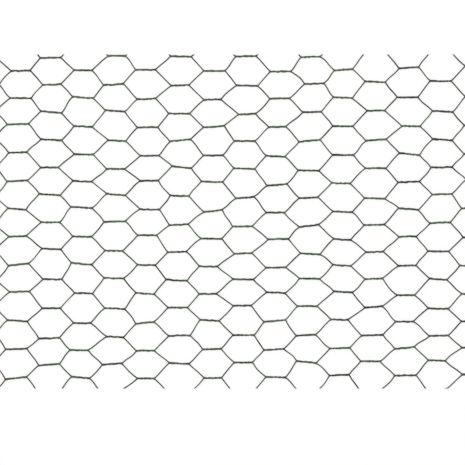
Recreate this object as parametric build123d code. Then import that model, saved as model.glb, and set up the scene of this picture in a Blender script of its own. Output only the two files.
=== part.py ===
# A cut sheet of hexagonal wire netting, lying flat, in millimetres with +Z up.
# Its wires run along X. The origin is the middle of the sheet, on the surface it lies on.
from build123d import *
import math
import os

# The sheet as it was cut from the roll
sheet_length = 420.0
sheet_width = 300.0

# The netting: twists stand in columns, and every second column is half a mesh lower
wire_diameter = 1.25
twist_thickness = 2.05
mesh_size = 25.0
column_pitch = 29.14
twist_length = 17.9
half_turns = 4
row_slant = 0.27

# Where the cuts fall: the first whole twist's middle from the left cut and from the top cut
first_column_inset = 18.6
first_row_inset = 2.1

# How far the netting strays from an even one: slow drifts, and the chance of each twist
drift_along = 0.7
drift_across = 0.8
corner_lift = 5.4
lift_reach_along = 95.0
lift_reach_across = 50.0
chance_along = 0.75
chance_across = 0.6
chance_tilt = 2.9
first_draw = 952167

wire_radius = wire_diameter / 2
twist_radius = twist_thickness / 2
mid_height = twist_thickness / 2
last_column = math.ceil((sheet_length - first_column_inset) / column_pitch) + 1
last_row = math.ceil((sheet_width - first_row_inset) / mesh_size) + 1


def chance(column, row, kind):
    """A number from -1 to 1 that is fixed for one twist: the fraction left by a large sine."""
    spread = math.sin(12.9898 * column + 78.233 * row + 37.719 * (kind + first_draw)) * 43758.5453
    return 2 * (spread - math.floor(spread)) - 1


def bell(column, row, kind):
    """Three chances added, which gather about 0 with a deviation of 1."""
    return sum(chance(column, row, 3 * kind + draw) for draw in range(3))


def wave(x, y, across, up, turn):
    """A slow wave over the sheet: how many waves fit along X and Y, and its start in degrees."""
    return math.cos(math.tau * (across * x / sheet_length + up * y / sheet_width) + math.radians(turn))


def twist_place(column, row):
    """The middle of a twist and the angle of its axis to X."""
    x = -sheet_length / 2 + first_column_inset + column * column_pitch - row * row_slant
    y = sheet_width / 2 - first_row_inset - row * mesh_size
    if column % 2 == 0:
        y -= mesh_size / 2
    along = drift_along * (
        wave(x, y, 1.5, 2, -14) + wave(x, y, 1.75, -1.25, 154) + wave(x, y, 0.75, 0.25, -177)
    )
    across = drift_across * (
        wave(x, y, 1, 1.25, 100) + wave(x, y, 1.5, -2, 124) + wave(x, y, 1, -0.5, 154)
    )
    corner = math.hypot(
        (x - sheet_length / 2) / lift_reach_along, (y - sheet_width / 2) / lift_reach_across
    )
    across += corner_lift * math.exp(-corner * corner)
    tilt = chance_tilt * bell(column, row, 2)
    x += along + chance_along * bell(column, row, 0)
    y += across + chance_across * bell(column, row, 1)
    return Location((x, y, 0), (0, 0, tilt))


def make_twist():
    """Two wires twisted together: by turns side by side and one on the other, so that
    the plan and the side view both swell and narrow, a quarter turn apart."""
    quarters = 2 * half_turns
    stations = [twist_length * (k / quarters - 0.5) for k in range(quarters + 1)]
    wide = [twist_radius if k % 2 == 0 else wire_radius for k in range(quarters + 1)]
    tall = [wire_radius if k % 2 == 0 else twist_radius for k in range(quarters + 1)]
    plan = Polyline(
        [(x, w, 0) for x, w in zip(stations, wide)]
        + [(x, -w, 0) for x, w in reversed(list(zip(stations, wide)))],
        close=True,
    )
    side = Polyline(
        [(x, -twist_radius, mid_height + h) for x, h in zip(stations, tall)]
        + [(x, -twist_radius, mid_height - h) for x, h in reversed(list(zip(stations, tall)))],
        close=True,
    )
    from_above = extrude(make_face(plan), twist_thickness, dir=(0, 0, 1))
    from_the_side = extrude(make_face(side), twist_thickness, dir=(0, 1, 0))
    return (from_above & from_the_side).solid()


def twist_end(place, end, side):
    """A corner of a twist's end: end is -1 or 1 along its axis, side is -1 or 1 across."""
    corner = place * Location((end * twist_length / 2, side * twist_radius, 0))
    return Vector(corner.position.X, corner.position.Y, 0)


def crossing(point, direction, other_point, other_direction):
    """Where two lines in the plan meet."""
    gap = other_point - point
    reach = (gap.X * other_direction.Y - gap.Y * other_direction.X) / (
        direction.X * other_direction.Y - direction.Y * other_direction.X
    )
    return point + direction * reach


def single_wire(upper, lower, towards):
    """The two edges of a single wire between two twists' ends, one wire diameter apart.
    The first edge leaves the upper twist's lower corner, the second reaches the lower
    twist's upper corner. Towards is 1 if the wire goes down to the right, else -1."""
    start = twist_end(upper, towards, -1)
    finish = twist_end(lower, -towards, 1)
    span = finish - start
    lean = math.asin(wire_diameter / span.length) * towards
    direction = span.normalized().rotate(Axis.Z, -math.degrees(lean))
    return start, finish, direction


def make_strip(left_column):
    """The zigzag of single wires between two neighbouring columns of twists. Its edge runs
    along the ends of the twists on one side and in the crotch of two wires on the other."""
    ends = []
    for row in range(-2, last_row + 1):
        pair = [(twist_place(left_column, row), 1), (twist_place(left_column + 1, row), -1)]
        if left_column % 2 == 0:
            pair.reverse()
        ends += pair
    wires = [
        single_wire(upper, lower, towards)
        for (upper, towards), (lower, _) in zip(ends, ends[1:])
    ]
    left_edge = []
    right_edge = []
    for index in range(1, len(ends) - 1):
        place, end = ends[index]
        start_above, _, direction_above = wires[index - 1]
        _, finish_below, direction_below = wires[index]
        corners = [twist_end(place, end, 1), twist_end(place, end, -1)]
        crotch = crossing(start_above, direction_above, finish_below, direction_below)
        if end == 1:
            left_edge += corners
            right_edge.append(crotch)
        else:
            left_edge.append(crotch)
            right_edge += corners
    outline = Polyline(left_edge + right_edge[::-1], close=True)
    flat = Pos(0, 0, mid_height - wire_radius) * make_face(outline)
    return extrude(flat, wire_diameter, dir=(0, 0, 1)).solid()


def make_netting():
    """Zigzags and twists fused into one net, then cut along the sheet's four sides. A crumb
    of wire that the cuts leave on its own, as in a corner, has fallen off."""
    twist = make_twist()
    pieces = [make_strip(column) for column in range(-1, last_column)]
    for column in range(-1, last_column + 1):
        for row in range(-1, last_row + 1):
            place = twist_place(column, row)
            near_x = abs(place.position.X) < (sheet_length + twist_length) / 2
            near_y = abs(place.position.Y) < sheet_width / 2
            if near_x and near_y:
                pieces.append(place * twist)
    net = pieces[0].fuse(*pieces[1:])
    middle = (Align.CENTER, Align.CENTER, Align.MIN)
    sheet = Box(sheet_length, sheet_width, twist_thickness, align=middle)
    cut = net & sheet
    return max(cut.solids(), key=lambda solid: solid.volume)


netting = make_netting()
netting.label = "netting"
print("solids", len(netting.solids()), "faces", len(netting.faces()), "volume", netting.volume)
os.makedirs("parts", exist_ok=True)
export_step(netting, "parts/netting.step")
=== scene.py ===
# %% [markdown]
# A cut sheet of hexagonal wire netting, photographed from straight above on white.
# The netting is 25 long wires. Each runs along the sheet and is twisted by turns with the wire
# above it and the wire below it. This lesson models every wire as it is on the real net,
# instead of drawing a mesh of hexagons, because the twists then come out right by themselves.

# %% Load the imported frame
import bpy
import math
import numpy as np
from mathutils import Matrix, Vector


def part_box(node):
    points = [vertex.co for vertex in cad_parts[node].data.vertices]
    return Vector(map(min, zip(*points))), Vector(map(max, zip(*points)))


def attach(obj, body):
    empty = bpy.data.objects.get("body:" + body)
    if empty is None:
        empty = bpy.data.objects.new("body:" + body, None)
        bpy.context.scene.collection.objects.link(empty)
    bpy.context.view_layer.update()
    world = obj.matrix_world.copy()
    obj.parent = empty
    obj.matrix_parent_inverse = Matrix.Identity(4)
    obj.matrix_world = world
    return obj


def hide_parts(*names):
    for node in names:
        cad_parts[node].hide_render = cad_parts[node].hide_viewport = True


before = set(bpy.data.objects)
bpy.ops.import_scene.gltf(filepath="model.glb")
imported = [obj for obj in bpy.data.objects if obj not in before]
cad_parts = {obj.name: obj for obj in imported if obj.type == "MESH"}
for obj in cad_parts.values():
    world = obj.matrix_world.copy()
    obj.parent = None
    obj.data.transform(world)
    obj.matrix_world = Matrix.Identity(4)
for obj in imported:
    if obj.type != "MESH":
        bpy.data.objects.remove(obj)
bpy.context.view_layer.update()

# %% [markdown]
# The sheet's size comes from the frame, so it isn't written twice. The sizes of the weave are
# the ones that the solid was made from, here in metres: a wire's width over its coating, the
# height of a mesh, the step from one column of twists to the next and the length of a twist.
# In a twist the coating is squeezed into the groove between the wires, so a strand is fatter
# there than a single wire.

# %% Sizes of the sheet and the weave
low, high = (np.array(corner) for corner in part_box("netting"))
sheet_length, sheet_width, thickness = high - low
half_length = sheet_length / 2
half_width = sheet_width / 2
wire_radius = 0.000625
twist_wire_radius = 0.00077
mesh_size = 0.025
column_pitch = 0.02914
twist_length = 0.0179
half_turns = 4
row_slant = 0.00027
first_column_inset = 0.0186
first_row_inset = 0.0021
print("sheet", sheet_length, "x", sheet_width, "m, wire", 2000 * wire_radius, "mm across")

# %% [markdown]
# No two meshes of a real net are alike, so nearly every size below gets a little chance. A table
# of measured places would copy one photo, and a list of random numbers would change with every
# run. The chance here is the fraction left by a large sine of the twist's column and row, which
# gives the same net each time. Each use has a kind of its own, so that its draws are its own.

# %% Chance
first_draw = 952167
column_stride, row_stride, kind_stride = 12.9898, 78.233, 37.719
large = 43758.5453


def chance(column, row, kind):
    """A number from -1 to 1: the fraction left by a large sine of column, row and kind."""
    angle = column_stride * column + row_stride * row + kind_stride * (kind + first_draw)
    spread = np.sin(angle) * large
    return 2 * (spread - np.floor(spread)) - 1


def bell(column, row, kind):
    """Three chances added, which gather about 0 with a deviation of 1."""
    return sum(chance(column, row, 3 * kind + draw) for draw in range(3))


print("three draws", [round(float(bell(column, 0, 0)), 3) for column in range(3)])

# %% [markdown]
# Slow drifts pull whole regions of the net a millimetre aside, the top right corner is pulled
# up by half a centimetre, and each twist is a little off by chance. A drift is a sum of three
# cosine waves. Each is given by how many waves fit along the sheet, how many fit up it, and
# where it starts in degrees.

# %% Where each twist lies
drift_along = 0.0007
drift_across = 0.0008
waves_along = ((1.5, 2, -14), (1.75, -1.25, 154), (0.75, 0.25, -177))
waves_across = ((1, 1.25, 100), (1.5, -2, 124), (1, -0.5, 154))
corner_lift = 0.0054
lift_reach_along = 0.095
lift_reach_across = 0.050
chance_along = 0.00075
chance_across = 0.0006
chance_tilt = 2.9
along_kind, across_kind, tilt_kind = 0, 1, 2


def drift(x, y, waves):
    """The sum of cos(tau (across x / length + up y / width) + start) over the waves."""
    return sum(
        np.cos(math.tau * (across * x / sheet_length + up * y / sheet_width) + math.radians(start))
        for across, up, start in waves
    )


def twist_place(column, row):
    """Even lattice, plus drift, plus corner lift, plus chance: a twist's middle and its angle."""
    x = -half_length + first_column_inset + column * column_pitch - row * row_slant
    y = half_width - first_row_inset - row * mesh_size - (column % 2 == 0) * mesh_size / 2
    along = drift_along * drift(x, y, waves_along)
    across = drift_across * drift(x, y, waves_across)
    corner = np.hypot((x - half_length) / lift_reach_along, (y - half_width) / lift_reach_across)
    across = across + corner_lift * np.exp(-corner * corner)
    x = x + along + chance_along * bell(column, row, along_kind)
    y = y + across + chance_across * bell(column, row, across_kind)
    tilt = np.radians(chance_tilt * bell(column, row, tilt_kind))
    return x, y, tilt


last_column = math.ceil((sheet_length - first_column_inset) / column_pitch) + 1
last_row = math.ceil((sheet_width - first_row_inset) / mesh_size) + 1
columns = np.arange(-2, last_column + 2)
print("columns", len(columns), "rows", last_row + 1)

# %% [markdown]
# In a twist a wire is a helix. The turns are closer in the middle of a twist than at its ends,
# where the wires lie side by side before they part, and no twist is quite even, straight,
# equally thick or equally tight. A perfect helix looks like a machine screw, so waves of chance
# size are added to its line, to its thickness and to how far apart its strands lie. Each point
# carries five numbers: its place, the wire's radius, and how far it is in a twist, from 0 at its
# ends to 1. Where the two wires part, the coating has pooled and both are a little fatter.

# %% The strand of a twist
slow_ends = 0.25
uneven_turns = 0.9
uneven_length = 0.12
twist_bow = 0.00015
waver_usual = 0.000062
fill_usual = 0.00005
lump_usual = 0.00006
fattest = 0.0003
pool = 0.0001
loose_usual = 0.13
tightest, loosest = 0.6, 1.5
coating_taper = 0.12
slow_waves = (1, 2, 3, 4)
short_waves = (2, 3, 4, 5, 6, 7)
twist_samples = 60
waver_kind, fill_kind, lump_kind, loose_kind = 8, 19, 20, 45
turns_kind, start_kind, length_kind = 21, 22, 23


def turning(row, t):
    """The angle turned at share t of a twist: even turns, slower at the ends, plus one uneven
    wave of chance size and start."""
    uneven = uneven_turns * chance(columns, row, turns_kind)[:, None]
    start = math.pi * chance(columns, row, start_kind)[:, None]
    early = uneven * (np.sin(math.tau * t + start) - np.sin(start)) - slow_ends * np.sin(math.tau * t)
    return half_turns * math.pi * (t + early / math.tau)


def add_waves(values, orders, row, t, usual, kind):
    """Adds a chance size times sin(order pi t) for each order, which is 0 at both ends."""
    for order in orders:
        size = usual * bell(columns, row, kind + order)[:, None]
        values = values + size * np.sin(order * math.pi * t)
    return values


def twist_strands(row, side):
    """A strand of each twist. Along its axis it runs evenly, and with the reach that leaves it
    inside the thickness it is at loose reach cos(turn) across and reach sin(turn) up. Side is
    1 for a twist's upper strand in plan, and -1 for its lower one."""
    x, y, tilt = (part[:, None] for part in twist_place(columns, row))
    t = np.linspace(0, 1, twist_samples)[None, :]
    turn = turning(row, t)
    bow = twist_bow * bell(columns, row, waver_kind)[:, None] * np.sin(math.pi * t)
    waver = add_waves(bow, short_waves, row, t, waver_usual, waver_kind)
    fill = twist_wire_radius - wire_radius + fill_usual * bell(columns, row, fill_kind)[:, None]
    fat = np.clip(add_waves(fill, slow_waves, row, t, lump_usual, lump_kind), 0, fattest)
    loose = np.clip(add_waves(1, slow_waves, row, t, loose_usual, loose_kind), tightest, loosest)
    taper = np.clip(np.minimum(t, 1 - t) / coating_taper, 0, 1)
    radius = wire_radius + pool * (1 - taper) + fat * taper
    reach = thickness / 2 - radius
    length = twist_length * (1 + uneven_length * chance(columns, row, length_kind))[:, None]
    along = length * (t - 0.5)
    across = waver + side * loose * reach * np.cos(turn)
    return np.stack([
        x + along * np.cos(tilt) - across * np.sin(tilt),
        y + along * np.sin(tilt) + across * np.cos(tilt),
        thickness / 2 + side * reach * np.sin(turn),
        radius,
        taper + 0 * x,
    ], axis=-1)


print("a twist turns by", half_turns * 180, "degrees in", round(1000 * twist_length, 1), "mm")

# %% [markdown]
# Between twists a wire runs to the next one with the slight bow that handling leaves, and here
# and there with a strong one, and it sways a little. A twist has an even number of half turns,
# so a wire that comes in above its partner goes out above it too, and stays in its row. That
# is why a wire can be worked out row by row, as whole arrays.

# %% The line of one wire
bow_usual = 0.00024
strong_bow = 0.13
sway_usual = 0.00016
lift_most = 0.00012
coat_usual = 0.000035
run_samples = 24
bow_kind, lift_kind, coat_kind, sway_kind = 3, 17, 34, 38


def single_runs(twists, row, strand):
    """From each twist's end to the next one's start: a straight line, plus half a wave and a
    whole wave sideways, half a wave up and half a wave of thickness. The pool of coating at
    both ends shrinks with the fourth power of what the half wave leaves of 1."""
    start = twists[:-1, -1][:, None, :]
    finish = twists[1:, 0][:, None, :]
    v = np.linspace(0, 1, run_samples + 2)[None, 1:-1, None]
    hump, snake = np.sin(math.pi * v), np.sin(math.tau * v)
    sideways = (finish - start)[..., [1, 0, 2, 3, 4]] * (-1, 1, 0, 0, 0)
    sideways = sideways / np.linalg.norm(sideways, axis=-1, keepdims=True)
    here = (columns[:-1], row[:-1])
    bent = bell(*here, bow_kind + 2 * strand)[:, None, None]
    bow = bow_usual * (bent + strong_bow * bent ** 3)
    sway = (sway_usual * bell(*here, sway_kind + strand))[:, None, None]
    lift = (lift_most * chance(*here, lift_kind + strand))[:, None, None]
    coat = (coat_usual * bell(*here, coat_kind + strand))[:, None, None]
    thickening = coat * hump - pool * (1 - (1 - hump) ** 4)
    run = start + (finish - start) * v
    run = run + (bow * hump + sway * snake) * sideways
    return run + lift * hump * (0, 0, 1, 0, 0) + thickening * (0, 0, 0, 1, 0)


def wire_line(first_row, strand):
    """The line of a wire: the strand of a twist and a single run by turns. Strand 0 is the upper
    one in the even columns and the lower one in the odd columns, all in its first row. Strand
    1 is the lower one in the even columns and the upper one in the odd ones of the next row."""
    even = columns % 2 == 0
    row = first_row + strand * (1 - even)
    side = (np.where(even, 1, -1) * (1 - 2 * strand))[:, None]
    twists = twist_strands(row, side)
    runs = single_runs(twists, row, strand)
    line = np.concatenate([twists[:-1], runs], axis=1).reshape(-1, twists.shape[-1])
    return np.concatenate([line, twists[-1]])


example = wire_line(3, 0)
print("the raw line of a wire has", len(example), "points")

# %% [markdown]
# The raw line has a sharp corner wherever a run meets a twist. Such wire takes small round
# bends, so the line is sampled evenly and smoothed over about a millimetre. Smoothing the whole
# line at once is simpler than fitting an arc into each corner.

# %% Soft bends
step = 0.00025
bend_reach = 0.0006


def smooth_line(points):
    """Even steps along the line, then each point becomes the bell-weighted mean of its
    neighbours within three bend reaches."""
    between = np.linalg.norm(np.diff(points[:, :3], axis=0), axis=1)
    length = np.concatenate([[0], np.cumsum(between)])
    even = np.arange(0, length[-1], step)
    line = np.stack([np.interp(even, length, column) for column in points.T], axis=1)
    reach = int(3 * bend_reach / step)
    weights = np.exp(-0.5 * (np.arange(-reach, reach + 1) * step / bend_reach) ** 2)
    weights /= weights.sum()
    padded = np.pad(line, ((reach, reach), (0, 0)), mode="edge")
    return np.stack([np.convolve(column, weights, "valid") for column in padded.T], axis=1)


example = smooth_line(example)
example_span = np.ptp(example[:, 0])
print("it is", round(len(example) * step, 3), "m long for", round(example_span, 3), "m of net")

# %% [markdown]
# The net was cut out of a roll, so each line is cut where it leaves the sheet's rectangle. What
# is left of a wire may be one long run or several short stubs. A crumb too short to reach a
# twist, as in a corner, has nothing to hold it and has fallen off.

# %% Cut the lines to the sheet
shortest_stub = 0.006


def cut_to_sheet(line):
    """Stretches of the line inside the rectangle, each ended exactly on the cut."""
    room = np.minimum(half_length - np.abs(line[:, 0]), half_width - np.abs(line[:, 1]))
    inside = room > 0
    edges = np.flatnonzero(np.diff(inside.astype(int)))
    bounds = np.concatenate([[-1], edges, [len(line) - 1]])
    stretches = []
    for first, last in zip(bounds[:-1], bounds[1:]):
        if not inside[last]:
            continue
        points = line[first + 1:last + 1]
        if first >= 0:
            share = room[first] / (room[first] - room[first + 1])
            points = np.vstack([line[first] + share * (line[first + 1] - line[first]), points])
        if last < len(line) - 1:
            share = room[last] / (room[last] - room[last + 1])
            points = np.vstack([points, line[last] + share * (line[last + 1] - line[last])])
        if len(points) * step > shortest_stub:
            stretches.append(points)
    return stretches


example_stretches = cut_to_sheet(example)
print("the wire is cut to", len(example_stretches), "stretch of", len(example_stretches[0]), "points")

# %% [markdown]
# A tube with a ring at every point would have ten times the faces it needs. So the rings stand
# closer together where the line turns and further apart on straight runs, and a whole wire
# takes a few thousand faces.

# %% Choose the rings
turn_per_ring = math.radians(8)
longest_ring_step = 0.0035
tiny = 1e-9


def choose_rings(points):
    """Points picked at even steps of length / longest step + turning / turn per ring."""
    way = np.diff(points[:, :3], axis=0)
    size = np.linalg.norm(way, axis=1, keepdims=True)
    way = way / np.maximum(size, tiny)
    bend = np.arccos(np.clip(np.sum(way[:-1] * way[1:], axis=1), -1, 1))
    cost = np.concatenate([[0], np.cumsum(size[:-1, 0] / longest_ring_step + bend / turn_per_ring)])
    cost = np.append(cost, cost[-1] + size[-1, 0] / longest_ring_step)
    count = max(int(math.ceil(cost[-1])), 2)
    wanted = np.linspace(0, cost[-1], count + 1)
    return np.stack([np.interp(wanted, cost, column) for column in points.T], axis=1)


example_rings = choose_rings(example_stretches[0])
print("the wire has", len(example_rings), "rings")

# %% [markdown]
# The tube is a circle carried along the line. Netting wire never stands upright, so the plan
# direction turned by a right angle is always a good sideways axis, and no ring can flip over.
# The end rings are slid along the wire onto the plane of the cut, as shears leave them, and a
# wire that meets the cut at a shallow angle is pared flat by it.

# %% A tube with cut ends
sides = 12
on_the_cut = step / 50
steep_enough = 0.25


def tube(line):
    """Ring k, side j: point k + radius k (cos a_j sideways + sin a_j upwards)."""
    points, radius = line[:, :3], line[:, 3]
    way = np.gradient(points, axis=0)
    way /= np.linalg.norm(way, axis=1, keepdims=True)
    sideways = np.stack([-way[:, 1], way[:, 0], 0 * way[:, 0]], axis=1)
    sideways /= np.linalg.norm(sideways, axis=1, keepdims=True)
    upwards = np.cross(way, sideways)
    angle = math.tau * (np.arange(sides) + 0.5) / sides
    ring = np.cos(angle)[None, :, None] * sideways[:, None]
    ring = ring + np.sin(angle)[None, :, None] * upwards[:, None]
    grid = points[:, None] + radius[:, None, None] * ring
    for end in (0, -1):
        room = np.array([half_length - abs(points[end, 0]), half_width - abs(points[end, 1])])
        axis = int(np.argmin(room))
        if room[axis] < on_the_cut and abs(way[end, axis]) > steep_enough:
            slide = (points[end, axis] - grid[end, :, axis]) / way[end, axis]
            grid[end] += slide[:, None] * way[end]
    grid[..., 0] = np.clip(grid[..., 0], -half_length, half_length)
    grid[..., 1] = np.clip(grid[..., 1], -half_width, half_width)
    k, j = np.meshgrid(np.arange(len(points) - 1), np.arange(sides), indexing="ij")
    n = (j + 1) % sides
    below, above = k * sides, (k + 1) * sides
    walls = np.stack([below + j, below + n, above + n, above + j], axis=-1)
    return grid.reshape(-1, 3), walls.reshape(-1, 4)


verts, walls = tube(example_rings)
print("one wire has", len(verts), "points and", len(walls), "faces")

# %% [markdown]
# A cut face is a fan from a centre point to the tube's rim. It shares the rim's points with the
# tube, so the skin is closed.

# %% Close the cut ends
def close_ends(count, first):
    """Two fans, for the first ring and the last of count rings that start at point first. Their
    centres are the two points after the last ring."""
    j = np.arange(sides)
    n = (j + 1) % sides
    rim = first + (count - 1) * sides
    centre = first + count * sides
    start = np.stack([first + n, first + j, np.full(sides, centre)], axis=-1)
    finish = np.stack([rim + j, rim + n, np.full(sides, centre + 1)], axis=-1)
    return np.concatenate([start, finish])


print("the cut faces of a wire have", len(close_ends(len(example_rings), 0)), "triangles")

# %% [markdown]
# A wire's piece is one mesh, however many stretches the cuts left of it. The cut faces are
# shaded flat and the walls smooth, and two attributes speak to the finish: heart tells how near
# a cut face's middle a place is, and twisted whether it is in a twist.

# %% Build a wire's mesh
def wire_mesh(name, stretches):
    """One mesh from all stretches of a wire: wall quads first, then the fans of cut faces."""
    all_verts, all_walls, all_fans, all_marks, first = [], [], [], [], 0
    for points in stretches:
        rings = choose_rings(points)
        skin, quads = tube(rings)
        centres = np.stack([skin[:sides].mean(axis=0), skin[-sides:].mean(axis=0)])
        all_verts.append(np.concatenate([skin, centres]))
        all_walls.append(quads + first)
        all_fans.append(close_ends(len(rings), first))
        all_marks.append(np.concatenate([np.repeat(rings[:, 4], sides), rings[[0, -1], 4]]))
        first += len(skin) + len(centres)
    verts = np.concatenate(all_verts)
    quads, fans = np.concatenate(all_walls), np.concatenate(all_fans)
    corners = np.concatenate([quads.ravel(), fans.ravel()])
    mesh = bpy.data.meshes.new(name)
    mesh.vertices.add(len(verts))
    mesh.vertices.foreach_set("co", verts.ravel())
    mesh.loops.add(len(corners))
    mesh.loops.foreach_set("vertex_index", corners)
    mesh.polygons.add(len(quads) + len(fans))
    starts = np.concatenate([4 * np.arange(len(quads)), 4 * len(quads) + 3 * np.arange(len(fans))])
    mesh.polygons.foreach_set("loop_start", starts)
    mesh.polygons.foreach_set("use_smooth", np.arange(len(starts)) < len(quads))
    mesh.update(calc_edges=True)
    heart = mesh.attributes.new("heart", "FLOAT", "CORNER")
    nearness = np.zeros(len(corners))
    # The third corner of each fan triangle is the centre of its cut face
    nearness[4 * len(quads) + 2::3] = 1
    heart.data.foreach_set("value", nearness)
    twisted = mesh.attributes.new("twisted", "FLOAT", "POINT")
    twisted.data.foreach_set("value", np.concatenate(all_marks))
    mesh.validate()
    return mesh, len(quads) * 2 + len(fans)


# %% [markdown]
# Two strands alternate down the sheet. One is the lower strand of an odd column's twist and the
# upper strand of the even column's twist beside it. The other is the lower strand of that even
# twist and the upper strand of the odd twist one row down. All of them together take the place
# of the plain solid, which stays in the simulation.

# %% Make all the wires
wires = []
triangles = 0
for row, strand in ((row, strand) for row in range(-1, last_row + 1) for strand in (0, 1)):
    stretches = cut_to_sheet(smooth_line(wire_line(row, strand)))
    if not stretches:
        continue
    name = "wire_%02d" % (len(wires) + 1)
    mesh, count = wire_mesh(name, stretches)
    wire = bpy.data.objects.new(name, mesh)
    bpy.context.scene.collection.objects.link(wire)
    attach(wire, "root")
    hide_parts("netting")
    wires.append(wire)
    triangles += count
print(len(wires), "wires,", triangles, "triangles")

# %% [markdown]
# Dust and handling dull the plastic in patches. The pattern is a node group that puts out a
# mask and a height, and the shader stays in the material. Two noises are multiplied: a broad
# one that says where dust lies, and a fine one that breaks it up. A noise's values gather round
# one half, so the range round it is stretched to make the patches distinct.

# %% The scuff group
noise_low, noise_high = 0.38, 0.62
region_detail, grain_detail = 3, 4
least_region, least_grain = 0, 0.5


def make_scuffs():
    """Mask = stretched region noise x stretched grain noise x amount. Height = grain noise."""
    group = bpy.data.node_groups.new("scuffs", "ShaderNodeTree")
    for label in ("Region Scale", "Grain Scale", "Amount"):
        group.interface.new_socket(label, in_out="INPUT", socket_type="NodeSocketFloat")
    for label in ("Mask", "Height"):
        group.interface.new_socket(label, in_out="OUTPUT", socket_type="NodeSocketFloat")
    nodes, links = group.nodes, group.links
    inputs, outputs = nodes.new("NodeGroupInput"), nodes.new("NodeGroupOutput")
    place = nodes.new("ShaderNodeTexCoord")
    region, grain = nodes.new("ShaderNodeTexNoise"), nodes.new("ShaderNodeTexNoise")
    region.inputs["Detail"].default_value = region_detail
    grain.inputs["Detail"].default_value = grain_detail
    for noise, scale in ((region, "Region Scale"), (grain, "Grain Scale")):
        links.new(place.outputs["Object"], noise.inputs["Vector"])
        links.new(inputs.outputs[scale], noise.inputs["Scale"])
    both = nodes.new("ShaderNodeMath")
    both.operation = "MULTIPLY"
    for noise, least, slot in ((region, least_region, 0), (grain, least_grain, 1)):
        stretched = nodes.new("ShaderNodeMapRange")
        stretched.inputs["From Min"].default_value = noise_low
        stretched.inputs["From Max"].default_value = noise_high
        stretched.inputs["To Min"].default_value = least
        links.new(noise.outputs["Fac"], stretched.inputs["Value"])
        links.new(stretched.outputs[0], both.inputs[slot])
    amount = nodes.new("ShaderNodeMath")
    amount.operation = "MULTIPLY"
    links.new(both.outputs[0], amount.inputs[0])
    links.new(inputs.outputs["Amount"], amount.inputs[1])
    links.new(amount.outputs[0], outputs.inputs["Mask"])
    links.new(grain.outputs["Fac"], outputs.inputs["Height"])
    return group


scuffs = make_scuffs()
print("group", scuffs.name, "with", len(scuffs.nodes), "nodes")

# %% [markdown]
# The wire is steel in a dark green plastic skin. The skin is satin, a little paler and greyer
# where dust and handling have dulled it, and slightly uneven in height. A twist keeps its green
# better, because the two wires shelter each other. On a cut face the mark is 1 in the middle
# and 0 at the rim, so a threshold draws the bare core inside its ring of coating.

# %% The finish of the wire
coating_color = (0.006, 0.014, 0.005, 1)
twist_color = (0.003, 0.018, 0.003, 1)
dusty_color = (0.094, 0.125, 0.081, 1)
dusty_twist_color = (0.080, 0.133, 0.062, 1)
core_color = (0.36, 0.35, 0.33, 1)
core_share = 0.66
clean_roughness, dusty_roughness = 0.42, 0.68
bump_strength, bump_height = 0.35, 0.00006
scuff_values = {"Region Scale": 70, "Grain Scale": 1800, "Amount": 1}


def make_wire_finish():
    """Coating with scuffs, mixed with a steel core where the mark passes the core's share."""
    material = bpy.data.materials.new("coated_wire")
    material.use_nodes = True
    nodes, links = material.node_tree.nodes, material.node_tree.links
    shader = nodes["Principled BSDF"]
    scuff = nodes.new("ShaderNodeGroup")
    scuff.node_tree = scuffs
    for label, value in scuff_values.items():
        scuff.inputs[label].default_value = value
    twisted = nodes.new("ShaderNodeAttribute")
    twisted.attribute_name = "twisted"
    dusty = nodes.new("ShaderNodeMix")
    dusty.data_type = "RGBA"
    links.new(scuff.outputs["Mask"], dusty.inputs["Factor"])
    clean_pair, dusty_pair = (coating_color, twist_color), (dusty_color, dusty_twist_color)
    for slot, (run_color, pair_color) in (("A", clean_pair), ("B", dusty_pair)):
        sheltered = nodes.new("ShaderNodeMix")
        sheltered.data_type = "RGBA"
        sheltered.inputs["A"].default_value = run_color
        sheltered.inputs["B"].default_value = pair_color
        links.new(twisted.outputs["Fac"], sheltered.inputs["Factor"])
        links.new(sheltered.outputs["Result"], dusty.inputs[slot])
    heart = nodes.new("ShaderNodeAttribute")
    heart.attribute_name = "heart"
    core = nodes.new("ShaderNodeMath")
    core.operation = "GREATER_THAN"
    core.inputs[1].default_value = 1 - core_share
    links.new(heart.outputs["Fac"], core.inputs[0])
    color = nodes.new("ShaderNodeMix")
    color.data_type = "RGBA"
    color.inputs["B"].default_value = core_color
    links.new(core.outputs[0], color.inputs["Factor"])
    links.new(dusty.outputs["Result"], color.inputs["A"])
    links.new(color.outputs["Result"], shader.inputs["Base Color"])
    links.new(core.outputs[0], shader.inputs["Metallic"])
    rough = nodes.new("ShaderNodeMapRange")
    rough.inputs["To Min"].default_value = clean_roughness
    rough.inputs["To Max"].default_value = dusty_roughness
    links.new(scuff.outputs["Mask"], rough.inputs["Value"])
    links.new(rough.outputs[0], shader.inputs["Roughness"])
    bump = nodes.new("ShaderNodeBump")
    bump.inputs["Strength"].default_value = bump_strength
    bump.inputs["Distance"].default_value = bump_height
    links.new(scuff.outputs["Height"], bump.inputs["Height"])
    links.new(bump.outputs[0], shader.inputs["Normal"])
    return material


wire_finish = make_wire_finish()
for wire in wires:
    wire.data.materials.append(wire_finish)
print("finish on", len(wires), "wires")

# %% [markdown]
# The photo's ground is pure white with no shadow to speak of. The floor gives most of its white
# to the camera as its own light and takes the rest from the lamps, so that it stays white while
# the faint shadow of the net still shows on it.

# %% The floor
floor_white = 0.95
floor_reach = 6.0
glow_share = 0.8


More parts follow.
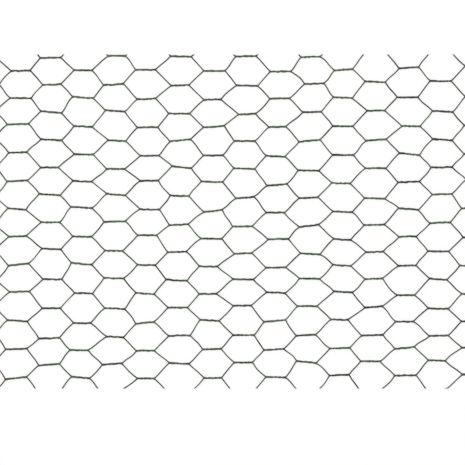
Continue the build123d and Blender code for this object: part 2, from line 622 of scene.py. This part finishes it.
def make_floor():
    """A wide square at the height the net lies on, whose finish mixes glow and matt white."""
    mesh = bpy.data.meshes.new("floor")
    corners = [(-floor_reach, -floor_reach, 0), (floor_reach, -floor_reach, 0),
               (floor_reach, floor_reach, 0), (-floor_reach, floor_reach, 0)]
    mesh.from_pydata(corners, [], [(0, 1, 2, 3)])
    floor = bpy.data.objects.new("floor", mesh)
    bpy.context.scene.collection.objects.link(floor)
    material = bpy.data.materials.new("floor_white")
    material.use_nodes = True
    nodes, links = material.node_tree.nodes, material.node_tree.links
    nodes.remove(nodes["Principled BSDF"])
    matt, glow = nodes.new("ShaderNodeBsdfDiffuse"), nodes.new("ShaderNodeEmission")
    matt.inputs["Color"].default_value = (floor_white, floor_white, floor_white, 1)
    glow.inputs["Color"].default_value = (1, 1, 1, 1)
    glow.inputs["Strength"].default_value = 1
    ray = nodes.new("ShaderNodeLightPath")
    seen = nodes.new("ShaderNodeMath")
    seen.operation = "MAXIMUM"
    links.new(ray.outputs["Is Camera Ray"], seen.inputs[0])
    links.new(ray.outputs["Is Glossy Ray"], seen.inputs[1])
    share = nodes.new("ShaderNodeMath")
    share.operation = "MULTIPLY"
    share.inputs[1].default_value = glow_share
    links.new(seen.outputs[0], share.inputs[0])
    mix = nodes.new("ShaderNodeMixShader")
    links.new(share.outputs[0], mix.inputs["Fac"])
    links.new(matt.outputs[0], mix.inputs[1])
    links.new(glow.outputs[0], mix.inputs[2])
    links.new(mix.outputs[0], nodes["Material Output"].inputs["Surface"])
    mesh.materials.append(material)
    return floor


floor = make_floor()
print("floor", 2 * floor_reach, "m wide")

# %% [markdown]
# The light is a plain white sky and one large soft lamp, so that a round wire has a softly lit
# top and darker flanks from any side. The sky shows white to the camera in low views too.

# %% Light
sky_strength = 0.85
lamp_power = 14
lamp_size = 1.2
lamp_place = (-0.9, 0.9, 1.6)


def make_light():
    """White sky, and an area lamp up to the left that faces the net."""
    world = bpy.data.worlds.new("sky")
    world.use_nodes = True
    sky = world.node_tree.nodes["Background"]
    sky.inputs["Color"].default_value = (1, 1, 1, 1)
    sky.inputs["Strength"].default_value = sky_strength
    bpy.context.scene.world = world
    lamp = bpy.data.lights.new("soft_lamp", "AREA")
    lamp.energy = lamp_power
    lamp.size = lamp_size
    holder = bpy.data.objects.new("soft_lamp", lamp)
    holder.location = lamp_place
    holder.rotation_mode = "QUATERNION"
    holder.rotation_quaternion = (-holder.location).to_track_quat("-Z", "Y")
    bpy.context.scene.collection.objects.link(holder)
    return holder


soft_lamp = make_light()
print("lamp", soft_lamp.name, "of", lamp_power, "watts under a sky of", sky_strength)

# %% [markdown]
# The photo looks straight down on the net. A long lens from far off keeps every wire in plan.
# In the photo the two cuts lie at rows 55 and 388 of 465, so the net's middle is 11 pixels
# above the picture's middle, and the sides run off the frame: a pixel is 0.898 mm.

# %% Camera
picture_pixels = 465
pixel_size = 0.000898
rows_above_middle = 11.0
lens = 250.0
sensor = 36.0
nearest_seen, farthest_seen = 0.1, 50


def make_camera():
    """Straight down, at the height where the picture's width covers its pixels' true size."""
    camera = bpy.data.cameras.new("camera")
    camera.lens = lens
    camera.sensor_width = sensor
    camera.clip_start = nearest_seen
    camera.clip_end = farthest_seen
    holder = bpy.data.objects.new("camera", camera)
    width = picture_pixels * pixel_size
    holder.location = (0, -rows_above_middle * pixel_size, thickness / 2 + width * lens / sensor)
    bpy.context.scene.collection.objects.link(holder)
    bpy.context.scene.camera = holder
    return holder


camera = make_camera()
bpy.context.scene.view_settings.view_transform = "Standard"
print("camera", tuple(round(v, 4) for v in camera.location))

# %% [markdown]
# Last, the view layer is brought up to date.

# %% Update the view layer
bpy.context.view_layer.update()
